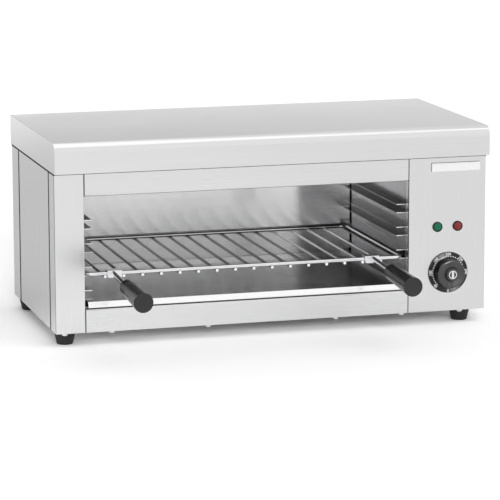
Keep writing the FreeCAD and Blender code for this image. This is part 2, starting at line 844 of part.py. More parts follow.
def thermostat_body():
    half = thermostat_size / 2
    back = sheet + thermostat_length
    pieces = [block(control_x - half, control_x + half, sheet, back, dial_z - half, dial_z + half)]
    for x, z in thermostat_blades():
        pieces.append(block(x - blade_sheet / 2, x + blade_sheet / 2, back, back + blade_length,
                            z - blade_width / 2, z + blade_width / 2))
    return drill(join(pieces), shaft_radius + slip, vec(control_x, 0, dial_z),
                 vec(control_x, sheet + body_bore_depth, dial_z))


def bulb_axis():
    return wall_right - bulb_wall_gap, reflector_z - bulb_ceiling_gap - bulb_radius


def capillary_points():
    x, z = bulb_axis()
    y = bulb_front_y + bulb_length
    far_x = control_x + capillary_x
    entry_z = dial_z + capillary_z
    mid_y = y + bulb_wall_gap
    return [vec(x, y - sheet, z), vec(x, mid_y, z), vec(far_x, mid_y, z), vec(far_x, mid_y, entry_z),
            vec(far_x, sheet + thermostat_length, entry_z)]


def thermostat_bulb():
    x, z = bulb_axis()
    bulb = rod(bulb_radius, vec(x, bulb_front_y, z), vec(x, bulb_front_y + bulb_length, z))
    bulb = bulb.makeFillet(bulb_radius / 2, [e for e in bulb.Edges if len(e.Vertexes) == 1])
    return join([bulb, bent_rod(capillary_points(), capillary_radius, capillary_bend)])


def bulb_clip(y):
    """Strap under the bulb that is fixed flat against the reflector."""
    x, z = bulb_axis()
    outer = bulb_radius + clip_strap
    strap = rod(outer, vec(x, y, z), vec(x, y + clip_strap_width, z))
    ears = block(x - 2 * outer, x + 2 * outer, y, y + clip_strap_width, reflector_z - clip_strap, reflector_z)
    shape = join([strap, ears])
    return drill(shape, bulb_radius + slip, vec(x, y - sheet, z), vec(x, y + 2 * clip_strap_width, z))


def lamp_places():
    middle = control_x + lamp_offset
    return middle - lamp_spacing / 2, middle + lamp_spacing / 2


def lamp_body(x):
    back = lamp_body_length
    pieces = [rod(lamp_ring_radius, vec(x, -lamp_ring_height, lamp_z), vec(x, 0, lamp_z)),
              rod(lamp_body_radius, vec(x, 0, lamp_z), vec(x, back, lamp_z))]
    for blade_x in (x - blade_width / 2, x + blade_width / 2):
        pieces.append(block(blade_x - blade_sheet / 2, blade_x + blade_sheet / 2, back, back + blade_length,
                            lamp_z - blade_width / 2, lamp_z + blade_width / 2))
    return drill(join(pieces), lens_radius + slip, vec(x, -2 * lamp_ring_height, lamp_z),
                 vec(x, lens_seat, lamp_z))


def lamp_lens(x):
    """Clear plug with a domed front."""
    curve = (lens_radius ** 2 + lens_dome ** 2) / (2 * lens_dome)
    front = -lamp_ring_height
    ball = Part.makeSphere(curve, vec(x, front - lens_dome + curve, lamp_z))
    dome = ball.common(rod(lens_radius, vec(x, front - 2 * lens_dome, lamp_z), vec(x, front, lamp_z)))
    return join([dome, rod(lens_radius, vec(x, front, lamp_z), vec(x, lens_seat, lamp_z))])


def cable_gland():
    x = panel_edge + gland_x
    hex_end = gland_y + gland_hex_depth
    tip = gland_y + gland_reach
    shape = join([
        rod(gland_thread, vec(x, rear_panel_y - gland_tail, gland_z), vec(x, gland_y, gland_z)),
        hexagon(gland_hex, vec(x, gland_y, gland_z), vec(x, hex_end, gland_z)),
        Part.makeCone(gland_hex / 2, gland_thread, tip - hex_end, vec(x, hex_end, gland_z), Y),
    ])
    return drill(shape, gland_bore, vec(x, 0, gland_z), vec(x, 2 * tip, gland_z))


def gland_nut():
    x = panel_edge + gland_x
    nut = hexagon(gland_nut_hex, vec(x, rear_panel_y - gland_nut_depth, gland_z),
                  vec(x, rear_panel_y, gland_z))
    return drill(nut, gland_thread + slip, vec(x, 0, gland_z), vec(x, body_depth, gland_z))


def block_front_y():
    return body_depth - block_rear_gap - block_depth


def pole_x(pole):
    return panel_edge + block_x + block_width * (pole + 0.5) / block_poles


def terminal_block():
    x0 = panel_edge + block_x
    y0 = block_front_y()
    y1 = y0 + block_depth
    top = base_top + block_height
    shape = block(x0, x0 + block_width, y0, y1, base_top, top)
    for pole in range(block_poles):
        x = pole_x(pole)
        edge = x + block_width / block_poles / 2
        shape = drill(shape, 1.5 * wire_radius, vec(x, y0 + block_depth / 3, top - block_height / 3),
                      vec(x, y0 + block_depth / 3, top + sheet))
        groove = block(edge - sheet / 2, edge + sheet / 2, y0, y1, top - block_height / 4, top + sheet)
        shape = shape.cut(groove)
    return shape


def wire_routes():
    """Each lead's points by hand: from its tab or pin, round the control bay, to the block."""
    tail = sheet + thermostat_length + blade_length
    lamp_tail = lamp_body_length + blade_length
    tab_y = tail + lead_tab_run
    lanes = [tail + lead_lane_first + i * lead_lane_pitch for i in range(3)]
    half_blade = blade_width / 2
    block_y = block_front_y()
    entry_y = block_y - lead_block_run
    clamp_y = block_y + 2 * block_depth / 3
    entry_z = base_top + block_height / 2
    block_top = base_top + block_height
    low_z = base_top + lead_rise
    earth_y = block_y - earth_reach
    pin_x = wall_right + element_tail + terminal_length
    link_x = pin_x + element_link_reach
    outer_x = control_x + lead_outer_offset
    rows = leg_rows()
    green_x, red_x = lamp_places()
    live_x, neutral_x, earth_x = (pole_x(i) for i in range(block_poles))
    green_neutral_x = neutral_x - 2 * wire_radius
    red_neutral_x = neutral_x + 2 * wire_radius
    feed, load, green_tab, red_tab = thermostat_blades()
    return [
        [vec(live_x, block_y, entry_z), vec(live_x, lanes[2], entry_z),
         vec(feed[0], lanes[2] - lead_slant, feed[1]), vec(feed[0], tail, feed[1])],
        [vec(load[0], tail, load[1]), vec(load[0], lanes[0], load[1]),
         vec(outer_x, lanes[1], load[1] + lead_rise),
         vec(outer_x, rows[0] + lead_lane_pitch, element_z - element_lead_drop),
         vec(outer_x, rows[0], element_z), vec(pin_x, rows[0], element_z)],
        [vec(pin_x, rows[1], element_z), vec(link_x, rows[1], element_z),
         vec(link_x, rows[2], element_z), vec(pin_x, rows[2], element_z)],
        [vec(pin_x, rows[3], element_z), vec(control_x, rows[3], element_z),
         vec(control_x, rows[3], block_top + 2 * lead_block_rise),
         vec(neutral_x, clamp_y, block_top + lead_block_rise), vec(neutral_x, clamp_y, block_top)],
        [vec(green_x - half_blade, lamp_tail, lamp_z), vec(green_x - half_blade, tab_y, lamp_z),
         vec(green_tab[0], tab_y, green_tab[1]), vec(green_tab[0], tail, green_tab[1])],
        [vec(red_x + half_blade, lamp_tail, lamp_z), vec(red_x + half_blade, tab_y, lamp_z),
         vec(red_tab[0], tab_y, red_tab[1]), vec(red_tab[0], tail, red_tab[1])],
        [vec(green_x + half_blade, lamp_tail, lamp_z), vec(green_x + half_blade, lanes[1], lamp_z),
         vec(green_neutral_x, lanes[1] + lead_slant, low_z), vec(green_neutral_x, entry_y, entry_z),
         vec(green_neutral_x, block_y, entry_z)],
        [vec(red_x - half_blade, lamp_tail, lamp_z), vec(red_x - half_blade, lanes[2], lamp_z),
         vec(red_neutral_x, lanes[2] + lead_slant, low_z), vec(red_neutral_x, entry_y, entry_z),
         vec(red_neutral_x, block_y, entry_z)],
        [vec(earth_x, block_y, entry_z), vec(earth_x, block_y - earth_run, entry_z),
         vec(outer_x, earth_y, low_z), vec(outer_x, earth_y, base_top)],
    ]


def internal_wires():
    return group(bent_rod(route, wire_radius, wire_bend) for route in wire_routes())


def group(shapes):
    return Part.makeCompound(list(shapes))


def bulb_clip_places():
    rear = bulb_front_y + bulb_length - clip_strap_width
    return bulb_front_y + bulb_clip_inset, rear - bulb_clip_inset


green_lamp_x, red_lamp_x = lamp_places()
handle_places = {
    "left": (left_clip_x, left_clip_x - handle_offset),
    "right": (right_clip_x, right_clip_x + handle_offset),
}

nodes = {
    "top_cover": top_cover(),
    "front_left_post": front_left_post(),
    "control_panel": control_panel(),
    "rear_left_post": rear_corner(-1),
    "rear_right_post": rear_corner(1),
    "left_side_panel": side_panel(-1),
    "right_side_panel": side_panel(1),
    "rear_panel": rear_panel(),
    "top_front_rail": top_front_rail(),
    "bottom_front_rail": bottom_front_rail(),
    "base_plate": base_plate(),
    "name_plate": name_plate(),
    "foot_bolts": group(foot_bolt(x, y) for x, y in foot_places.values()),
    "foot_nuts": group(foot_nut(x, y) for x, y in foot_places.values()),
    "base_screws": group(pan_screw(head, Z) for head in base_heads),
    "rear_screws": group(pan_screw(head, -Y) for head in rear_heads + lid_heads),
    "cavity_left_wall": side_wall(-1),
    "cavity_right_wall": side_wall(1),
    "cavity_back_wall": back_wall(),
    "cavity_floor": cavity_floor(),
    "cavity_reflector": cavity_reflector(),
    "front_heating_element": heating_element(element_rows[0]),
    "rear_heating_element": heating_element(element_rows[1]),
    "element_bushes": group(element_bush(y) for y in leg_rows()),
    "element_hangers": group(element_hanger(x) for x in hanger_x),
    "rack_frame": rack_frame(),
    "rack_cross_wires": rack_cross_wires(),
    "crumb_tray": crumb_tray(),
    "dial_plate": dial_plate(),
    "thermostat_knob": thermostat_knob(),
    "knob_cap": knob_cap(),
    "thermostat_shaft": thermostat_shaft(),
    "thermostat_body": thermostat_body(),
    "thermostat_bulb": thermostat_bulb(),
    "bulb_clips": group(bulb_clip(y) for y in bulb_clip_places()),
    "lamp_bodies": group(lamp_body(x) for x in lamp_places()),
    "green_lens": lamp_lens(green_lamp_x),
    "red_lens": lamp_lens(red_lamp_x),
    "cable_gland": cable_gland(),
    "gland_nut": gland_nut(),
    "terminal_block": terminal_block(),
    "internal_wires": internal_wires(),
}
for corner_name, place in foot_places.items():
    nodes["foot_" + corner_name] = rubber_foot(*place)
for level in range(guide_levels):
    nodes[f"left_rack_guide_{level + 1}"] = rack_guide(-1, level)
    nodes[f"right_rack_guide_{level + 1}"] = rack_guide(1, level)
for name, (clip_x, rod_x) in handle_places.items():
    nodes[f"{name}_handle_clip"] = handle_clip(clip_x, rod_x)
    nodes[f"{name}_handle_rod"] = handle_rod(rod_x)
    nodes[f"{name}_handle_grip"] = handle_grip(rod_x)

os.makedirs("parts", exist_ok=True)
for name, shape in nodes.items():
    shape.translated(vec(0, footprint_shift, foot_height)).exportStep("parts/" + name + ".step")
print("footprint shift", round(footprint_shift, 4), "foot height", foot_height)
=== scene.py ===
import json
import math

import bmesh
import bpy
from mathutils import Matrix, Vector


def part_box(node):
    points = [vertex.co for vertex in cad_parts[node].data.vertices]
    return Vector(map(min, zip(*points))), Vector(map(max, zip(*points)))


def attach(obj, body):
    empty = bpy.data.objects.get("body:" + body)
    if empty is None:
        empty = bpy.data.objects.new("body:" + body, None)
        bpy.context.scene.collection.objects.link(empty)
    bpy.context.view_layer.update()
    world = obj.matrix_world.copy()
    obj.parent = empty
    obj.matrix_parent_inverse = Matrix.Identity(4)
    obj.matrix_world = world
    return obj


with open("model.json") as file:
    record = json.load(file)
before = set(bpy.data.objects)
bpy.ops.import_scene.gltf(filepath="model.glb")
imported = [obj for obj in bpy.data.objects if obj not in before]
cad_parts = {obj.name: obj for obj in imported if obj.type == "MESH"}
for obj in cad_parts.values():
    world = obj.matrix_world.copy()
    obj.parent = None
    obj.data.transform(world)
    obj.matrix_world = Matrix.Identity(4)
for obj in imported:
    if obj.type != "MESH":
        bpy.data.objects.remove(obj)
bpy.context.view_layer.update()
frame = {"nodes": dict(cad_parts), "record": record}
nodes = frame["nodes"]


# Shader helpers

def new_material(name):
    material = bpy.data.materials.new(name)
    material.use_nodes = True
    tree = material.node_tree
    tree.nodes.clear()
    output = tree.nodes.new("ShaderNodeOutputMaterial")
    shader = tree.nodes.new("ShaderNodeBsdfPrincipled")
    tree.links.new(shader.outputs[0], output.inputs[0])
    return material, tree, shader


def node(tree, kind, **settings):
    made = tree.nodes.new(kind)
    for key, value in settings.items():
        setattr(made, key, value)
    return made


def plug(tree, socket, value):
    if isinstance(value, (int, float)):
        socket.default_value = value
    else:
        tree.links.new(value, socket)


def math_node(tree, operation, *values):
    made = node(tree, "ShaderNodeMath", operation=operation)
    for socket, value in zip(made.inputs, values):
        plug(tree, socket, value)
    return made.outputs[0]


def split(tree, vector):
    made = node(tree, "ShaderNodeSeparateXYZ")
    tree.links.new(vector, made.inputs[0])
    return made.outputs


def join(tree, *values):
    made = node(tree, "ShaderNodeCombineXYZ")
    for socket, value in zip(made.inputs, values):
        plug(tree, socket, value)
    return made.outputs[0]


def scaled(tree, vector, scale):
    made = node(tree, "ShaderNodeVectorMath", operation="MULTIPLY")
    tree.links.new(vector, made.inputs[0])
    made.inputs[1].default_value = scale
    return made.outputs[0]


def moved(tree, vector, offset):
    made = node(tree, "ShaderNodeVectorMath", operation="ADD")
    tree.links.new(vector, made.inputs[0])
    made.inputs[1].default_value = offset
    return made.outputs[0]


def noise(tree, vector, scale, detail=2.0, roughness=0.5):
    made = node(tree, "ShaderNodeTexNoise")
    made.inputs["Scale"].default_value = scale
    made.inputs["Detail"].default_value = detail
    made.inputs["Roughness"].default_value = roughness
    tree.links.new(vector, made.inputs["Vector"])
    return made.outputs["Fac"]


def remap(tree, value, low, high, from_low=0.3, from_high=0.7, smooth=False):
    made = node(tree, "ShaderNodeMapRange")
    if smooth:
        made.interpolation_type = "SMOOTHSTEP"
    for name, number in zip(("Value", "From Min", "From Max", "To Min", "To Max"),
                            (value, from_low, from_high, low, high)):
        plug(tree, made.inputs[name], number)
    return made.outputs["Result"]


def blended(tree, factor, a, b):
    made = node(tree, "ShaderNodeMix", data_type="FLOAT")
    for socket, value in zip((made.inputs["Factor"], made.inputs["A"], made.inputs["B"]), (factor, a, b)):
        plug(tree, socket, value)
    return made.outputs["Result"]


def tinted(tree, factor, dark, light):
    made = node(tree, "ShaderNodeMix", data_type="RGBA")
    tree.links.new(factor, made.inputs["Factor"])
    for socket, colour in zip((made.inputs["A"], made.inputs["B"]), (dark, light)):
        if isinstance(colour, tuple):
            socket.default_value = (*colour, 1.0)
        else:
            tree.links.new(colour, socket)
    return made.outputs["Result"]


def bumped(tree, shader, height, strength, distance, below=None):
    made = node(tree, "ShaderNodeBump")
    made.inputs["Strength"].default_value = strength
    made.inputs["Distance"].default_value = distance
    tree.links.new(height, made.inputs["Height"])
    if below is not None:
        tree.links.new(below, made.inputs["Normal"])
    tree.links.new(made.outputs[0], shader.inputs["Normal"])
    return made.outputs[0]


def object_point(tree):
    return node(tree, "ShaderNodeTexCoord").outputs["Object"]


# Metals

SHEET = 0.001
SQUARE_ON = 0.7
# CORNER_SHADE and CORNER_TONE set the depth and darkness of the painted shade along the casing's front side
# edges.
CORNER_SHADE = 0.0016
CORNER_TONE = 0.3
# PLATE_LINE is the width of the name plate's painted shadow line.
PLATE_LINE = 0.0006
# x over which the cross wires' painted shade fades out towards their right end.
SHADE_TO = 0.04
LIT_FROM = 0.08
CROWN_BOW = 45.0
CROWN_TWIST = 39.0
CAP_FACE_DEPTH = 0.0004
SLOT_FADE = 0.0004
FINE_BUMP = 0.0002
RING_GRAIN = 2600.0
GRAIN = {"x": (9.0, 1400.0, 1400.0), "y": (1400.0, 9.0, 1400.0), "z": (1400.0, 1400.0, 9.0)}
SIDE_GRAIN = {"x": "y", "y": "y", "z": "z"}
ACROSS = {"x": (0.0, 0.05, 1.0), "y": (0.05, 0.0, 1.0), "z": (1.0, 1.0, 0.0)}


def facing_sideways(tree):
    normal = split(tree, node(tree, "ShaderNodeNewGeometry").outputs["Normal"])
    return math_node(tree, "GREATER_THAN", math_node(tree, "ABSOLUTE", normal[0]), SQUARE_ON)


def facing_forwards(tree):
    normal = split(tree, node(tree, "ShaderNodeNewGeometry").outputs["Normal"])
    return math_node(tree, "LESS_THAN", normal[1], -SQUARE_ON)


def grain_point(tree, along):
    """Object coordinates stretched along the brushing, which turns with the sheet on its side faces."""
    point = object_point(tree)
    made = node(tree, "ShaderNodeMix", data_type="VECTOR")
    tree.links.new(facing_sideways(tree), made.inputs["Factor"])
    tree.links.new(scaled(tree, point, GRAIN[along]), made.inputs["A"])
    tree.links.new(scaled(tree, point, GRAIN[SIDE_GRAIN[along]]), made.inputs["B"])
    return made.outputs["Result"]


def brushed_steel(name, tone, along="x", roughness=0.26, spread=0.03, wave=0.0, anisotropic=0.6,
                  grain=0.03, crown=None, painted_front_light=None, streak=0.035, corner=None):
    """Satin sheet: fine brush lines in colour, roughness and height, faint smudges and a slow swell.

    crown centres a gentle doming, the front colour, a painted highlight, replaces the colour of faces that
    look forwards, and corner is the depth up to which side faces get a painted shade along an outer edge.
    """
    material, tree, shader = new_material(name)
    lines = noise(tree, grain_point(tree, along), 1.0, 3.0, 0.6)
    smudge = noise(tree, object_point(tree), 9.0, 4.0, 0.55)
    dark = tuple(c * (1 - streak) for c in tone)
    light = tuple(min(1.0, c * (1 + streak)) for c in tone)
    colour = tinted(tree, remap(tree, lines, 0.0, 1.0), dark, light)
    # Painted shade: side faces near an outer front edge are darkened to CORNER_TONE of their colour, standing
    # in for the shade along the bend.
    if corner is not None:
        y = split(tree, object_point(tree))[1]
        near = math_node(tree, "MULTIPLY", facing_sideways(tree), math_node(tree, "LESS_THAN", y, corner))
        colour = tinted(tree, near, colour, tuple(c * CORNER_TONE for c in tone))
    # Painted highlight: faces that look forwards take a brighter colour that stands in for the light they
    # catch.
    if painted_front_light:
        colour = tinted(tree, facing_forwards(tree), colour, painted_front_light)
    tree.links.new(colour, shader.inputs["Base Color"])
    wear = math_node(tree, "ADD", remap(tree, lines, -spread, spread),
                     remap(tree, smudge, roughness - 0.02, roughness + 0.02))
    tree.links.new(wear, shader.inputs["Roughness"])
    shader.inputs["Metallic"].default_value = 1.0
    shader.inputs["Anisotropic"].default_value = anisotropic
    tree.links.new(join(tree, *ACROSS[along]), shader.inputs["Tangent"])
    below = None
    if wave:
        swell = noise(tree, object_point(tree), 3.2, 1.0, 0.4)
        if crown:
            x, y, z = split(tree, moved(tree, object_point(tree), crown))
            bow = math_node(tree, "MULTIPLY", math_node(tree, "MULTIPLY", y, y), -CROWN_BOW)
            twist = math_node(tree, "MULTIPLY", math_node(tree, "MULTIPLY", x, y), CROWN_TWIST)
            swell = math_node(tree, "ADD", swell, math_node(tree, "ADD", bow, twist))
        below = bumped(tree, shader, swell, 1.0, wave)
    bumped(tree, shader, lines, grain, FINE_BUMP, below)
    return material


def polished(tree, shader, stain, smoothest, dullest):
    tree.links.new(remap(tree, stain, smoothest, dullest), shader.inputs["Roughness"])
    shader.inputs["Metallic"].default_value = 1.0
    bumped(tree, shader, noise(tree, object_point(tree), 900.0, 2.0), 0.04, FINE_BUMP)


def chrome(name, tone, roughness=0.12):
    material, tree, shader = new_material(name)
    stain = noise(tree, object_point(tree), 60.0, 4.0, 0.6)
    dark = tuple(c * 0.88 for c in tone)
    tree.links.new(tinted(tree, remap(tree, stain, 0.0, 1.0), dark, tone), shader.inputs["Base Color"])
    polished(tree, shader, stain, roughness - 0.03, roughness + 0.05)
    return material


def shade_painted_chrome(name, painted_dark, bright, painted_end_light):
    """Chrome wire darkened by a painted shade, less so towards its right end, with a painted highlight on its
    forward-facing ends.
    """
    material, tree, shader = new_material(name)
    x, y, z = split(tree, object_point(tree))
    stain = noise(tree, object_point(tree), 60.0, 4.0, 0.6)
    # Painted shade: the wire colour runs from dark on the left to bright chrome at the right, with a little
    # random unevenness.
    unshaded = math_node(tree, "ADD", remap(tree, x, 0.0, 1.0, SHADE_TO, LIT_FROM, smooth=True),
                      remap(tree, stain, -0.04, 0.04))
    wire = tinted(tree, unshaded, painted_dark, bright)
    # Painted highlight: faces that look forwards take the bright end colour.
    tree.links.new(tinted(tree, facing_forwards(tree), wire, painted_end_light), shader.inputs["Base Color"])
    polished(tree, shader, stain, 0.08, 0.16)
    return material


def recessed_chrome(name, tone, seat):
    """Chrome whose slots, deeper than its front face, get a painted shade: black, rough and not metallic."""
    material, tree, shader = new_material(name)
    stain = noise(tree, object_point(tree), 300.0, 3.0, 0.6)
    # Painted shade: faces set back deeper than the front face fade to black, rough and non-metallic.
    deep = remap(tree, split(tree, object_point(tree))[1], 0.0, 1.0, seat, seat + SLOT_FADE)
    bright = tinted(tree, remap(tree, stain, 0.0, 1.0), tuple(c * 0.9 for c in tone), tone)
    tree.links.new(tinted(tree, deep, bright, (0.02, 0.02, 0.02)), shader.inputs["Base Color"])
    tree.links.new(blended(tree, deep, 0.12, 0.6), shader.inputs["Roughness"])
    tree.links.new(blended(tree, deep, 1.0, 0.0), shader.inputs["Metallic"])
    return material


def spun_black(name, tone, centre):
    """Black disc turned on a lathe, whose fine rings drag each highlight out into a wedge."""
    material, tree, shader = new_material(name)
    x, y, z = split(tree, moved(tree, object_point(tree), tuple(-c for c in centre)))
    radius = math_node(tree, "SQRT", math_node(tree, "ADD", math_node(tree, "MULTIPLY", x, x),
                                               math_node(tree, "MULTIPLY", z, z)))
    rings = noise(tree, join(tree, radius, 0.0, 0.0), RING_GRAIN, 3.0, 0.6)
    cloud = noise(tree, object_point(tree), 40.0, 3.0, 0.6)
    light = tuple(c * 1.6 for c in tone)
    tree.links.new(tinted(tree, remap(tree, rings, 0.0, 1.0), tone, light), shader.inputs["Base Color"])
    wear = math_node(tree, "ADD", remap(tree, rings, -0.03, 0.03), remap(tree, cloud, 0.26, 0.29))
    tree.links.new(wear, shader.inputs["Roughness"])
    shader.inputs["Anisotropic"].default_value = 0.975
    tree.links.new(join(tree, x, 0.0, z), shader.inputs["Tangent"])
    bumped(tree, shader, rings, 0.05, FINE_BUMP)
    return material


# Plastics, rubber and lenses

def plastic(name, tone, roughness=0.4, grain=900.0, depth=0.12, coat=0.0, lift=1.5, gloss=0.5):
    material, tree, shader = new_material(name)
    cloud = noise(tree, object_point(tree), 35.0, 4.0, 0.6)
    light = tuple(min(1.0, c * lift) for c in tone)
    tree.links.new(tinted(tree, remap(tree, cloud, 0.0, 1.0), tone, light), shader.inputs["Base Color"])
    tree.links.new(remap(tree, cloud, roughness - 0.05, roughness + 0.07), shader.inputs["Roughness"])
    shader.inputs["Specular IOR Level"].default_value = gloss
    shader.inputs["Coat Weight"].default_value = coat
    shader.inputs["Coat Roughness"].default_value = 0.08
    bumped(tree, shader, noise(tree, object_point(tree), grain, 3.0), depth, FINE_BUMP)
    return material


def moulded_knob(name, tone):
    """Glossy black moulding whose side wall gets a painted shade: deep black and nearly without gloss."""
    material, tree, shader = new_material(name)
    cloud = noise(tree, object_point(tree), 60.0, 4.0, 0.6)
    normal = split(tree, node(tree, "ShaderNodeNewGeometry").outputs["Normal"])
    # Painted shade: faces that turn away from the front, the side wall, are coloured near black and lose most
    # of their specular gloss.
    side = remap(tree, math_node(tree, "ABSOLUTE", normal[1]), 1.0, 0.0, 0.05, 0.5, smooth=True)
    face = tinted(tree, remap(tree, cloud, 0.0, 1.0), tone, tuple(c * 1.5 for c in tone))
    tree.links.new(tinted(tree, side, face, (0.002, 0.002, 0.002)), shader.inputs["Base Color"])
    tree.links.new(remap(tree, cloud, 0.12, 0.17), shader.inputs["Roughness"])
    tree.links.new(blended(tree, side, 0.6, 0.08), shader.inputs["Specular IOR Level"])
    bumped(tree, shader, noise(tree, object_point(tree), 900.0, 3.0), 0.05, FINE_BUMP)
    return material


def lens(name, tone):
    """Clear coloured lamp cover, a little uneven in tone, with a low gloss of its own."""
    material, tree, shader = new_material(name)
    cloud = noise(tree, object_point(tree), 260.0, 3.0, 0.6)
    dark = tuple(c * 0.75 for c in tone)
    tree.links.new(tinted(tree, remap(tree, cloud, 0.0, 1.0), dark, tone), shader.inputs["Base Color"])
    tree.links.new(remap(tree, cloud, 0.10, 0.16), shader.inputs["Roughness"])
    shader.inputs["Specular IOR Level"].default_value = 0.3
    bumped(tree, shader, noise(tree, object_point(tree), 900.0, 2.0), 0.03, FINE_BUMP)
    return material


def shadow_lined_white(name, tone):
    """White enamelled plate with a painted shadow as a fine dark line along its left and top edges."""
    material, tree, shader = new_material(name)
    low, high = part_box("name_plate")
    x, y, z = split(tree, object_point(tree))
    # Painted shadow: a thin band PLATE_LINE wide along the left and top edges is coloured dark grey.
    left = math_node(tree, "LESS_THAN", x, low[0] + PLATE_LINE)
    top = math_node(tree, "GREATER_THAN", z, high[2] - PLATE_LINE)
    line = math_node(tree, "MAXIMUM", left, top)
    cloud = noise(tree, object_point(tree), 120.0, 3.0, 0.6)
    white = tinted(tree, remap(tree, cloud, 0.0, 1.0), tuple(c * 0.98 for c in tone), tone)
    tree.links.new(tinted(tree, line, white, (0.10, 0.10, 0.10)), shader.inputs["Base Color"])
    tree.links.new(remap(tree, cloud, 0.30, 0.40), shader.inputs["Roughness"])
    return material


lid_low, lid_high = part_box("top_cover")
lid_middle = tuple(-(a + b) / 2 for a, b in zip(lid_low, lid_high))
dial_low, dial_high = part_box("dial_plate")
dial_centre = ((dial_low[0] + dial_high[0]) / 2, dial_low[1], (dial_low[2] + dial_high[2]) / 2)
cap_low, cap_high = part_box("knob_cap")
post_low, post_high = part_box("front_left_post")

materials = {
    "lid_steel": brushed_steel("lid_steel", (0.77, 0.77, 0.775), "x", 0.18, wave=0.002, anisotropic=0.5,
                               crown=lid_middle),
    # casing_steel carries a painted shade along its front side edges.
    "casing_steel": brushed_steel("casing_steel", (0.76, 0.76, 0.765), "z", 0.25, wave=0.001, streak=0.02,
                                  corner=post_low[1] + CORNER_SHADE),
    "cavity_steel": brushed_steel("cavity_steel", (0.82, 0.82, 0.825), "x", 0.16, anisotropic=1.0),
    # guide_steel: its dark tone is painted shade for the inside of the channels, and its front faces get a
    # painted highlight.
    "guide_steel": brushed_steel("guide_steel", (0.24, 0.24, 0.245), "y", 0.22, painted_front_light=(0.88, 0.88, 0.89)),
    # tray_steel: its dark tone is painted shade for the tray inside the cavity, and its front lip gets a
    # painted highlight.
    "tray_steel": brushed_steel("tray_steel", (0.40, 0.40, 0.405), "x", 0.20, anisotropic=0.9,
                                painted_front_light=(0.98, 0.98, 0.98)),
    "element_sheath": brushed_steel("element_sheath", (0.12, 0.11, 0.10), "x", 0.5, anisotropic=0.0),
    "bush_brass": brushed_steel("bush_brass", (0.72, 0.55, 0.27), "x", 0.3, anisotropic=0.0),
    "rack_chrome": chrome("rack_chrome", (0.84, 0.84, 0.85), 0.10),
    "clip_steel": chrome("clip_steel", (0.84, 0.84, 0.85), 0.14),
    "rod_chrome": chrome("rod_chrome", (0.94, 0.94, 0.95), 0.10),
    "grip_plastic": plastic("grip_plastic", (0.012, 0.012, 0.013), 0.24, depth=0.04),
    "dial_metal": spun_black("dial_metal", (0.003, 0.003, 0.003), dial_centre),
    "knob_plastic": moulded_knob("knob_plastic", (0.024, 0.024, 0.025)),
    "cap_chrome": recessed_chrome("cap_chrome", (0.86, 0.86, 0.87), cap_low[1] + CAP_FACE_DEPTH),
    "thermostat_case": plastic("thermostat_case", (0.42, 0.37, 0.28), 0.5),
    "shaft_steel": chrome("shaft_steel", (0.62, 0.62, 0.63), 0.25),
    "bulb_metal": chrome("bulb_metal", (0.72, 0.60, 0.50), 0.25),
    "lamp_bezel": plastic("lamp_bezel", (0.006, 0.006, 0.006), 0.35, depth=0.03, gloss=0.15),
    "green_lens": lens("green_lens", (0.004, 0.17, 0.080)),
    "red_lens": lens("red_lens", (0.27, 0.030, 0.030)),
    "name_plate_metal": shadow_lined_white("name_plate_metal", (0.95, 0.95, 0.95)),
    "screw_steel": chrome("screw_steel", (0.74, 0.74, 0.75), 0.18),
    "foot_rubber": plastic("foot_rubber", (0.010, 0.010, 0.010), 0.6, depth=0.25),
    "gland_plastic": plastic("gland_plastic", (0.02, 0.02, 0.02), 0.45),
    "block_plastic": plastic("block_plastic", (0.74, 0.71, 0.62), 0.45, lift=1.1),
    "wire_sleeve": plastic("wire_sleeve", (0.34, 0.30, 0.24), 0.6, lift=1.2),
}
# Cross wires: dark painted shade on the left, bright chrome on the right, and painted highlights on their
# ends.
wire_chrome = shade_painted_chrome("wire_chrome", (0.15, 0.15, 0.15), (0.82, 0.82, 0.83),
                               (0.95, 0.95, 0.95))
# Painted shade: the right wall takes a darker copy of the cavity steel.
shaded_wall_steel = brushed_steel("shaded_wall_steel", (0.46, 0.46, 0.465), "x", 0.19, anisotropic=0.93)
rail_steel = brushed_steel("rail_steel", (0.76, 0.76, 0.765), "x", 0.25, wave=0.001)
heated_steel = brushed_steel("heated_steel", (0.30, 0.295, 0.29), "x", 0.32, wave=0.001, streak=0.1)

slot_of = {row["node"]: row["material_slot"] for row in frame["record"]["subparts"]}
for name, piece in nodes.items():
    piece.data.materials.clear()
    piece.data.materials.append(materials[slot_of[name]])
for name in ("top_front_rail", "bottom_front_rail", "rear_panel", "base_plate"):
    nodes[name].data.materials[0] = rail_steel
for name, material in (("cavity_reflector", heated_steel), ("cavity_right_wall", shaded_wall_steel),
                       ("rack_cross_wires", wire_chrome)):
    nodes[name].data.materials[0] = material


# Dial printing: plain numbers and dots, clockwise from straight down

DIAL_MARKS = ((270, "0"), (225, "50"), (180, "100"), (135, "150"), (90, "200"), (45, "250"), (0, "300"))
NUMBER_RADIUS = 0.0253
NUMBER_SIZE = 0.0052
DOT_RADIUS = 0.0224
DOT_SIZE = 0.00075
DOT_FIRST = 225
DOT_STEP = 9
DOT_SIDES = 16
PRINT_LIFT = 0.00012
LETTER_STEPS = 3
WELD = 1e-7


def on_dial(angle, radius, lift=PRINT_LIFT):
    turn = math.radians(angle)
    x, y, z = dial_centre
    return Vector((x + radius * math.cos(turn), y - lift, z + radius * math.sin(turn)))


def piece_from(shape, name, material):
    """Turn a bmesh into a named piece that rides on the casing."""
    bmesh.ops.recalc_face_normals(shape, faces=shape.faces)
    mesh = bpy.data.meshes.new(name)
    shape.to_mesh(mesh)
    shape.free()
    piece = bpy.data.objects.new(name, mesh)
    bpy.context.scene.collection.objects.link(piece)
    mesh.materials.clear()
    mesh.materials.append(material)
    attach(piece, "casing")
    return piece


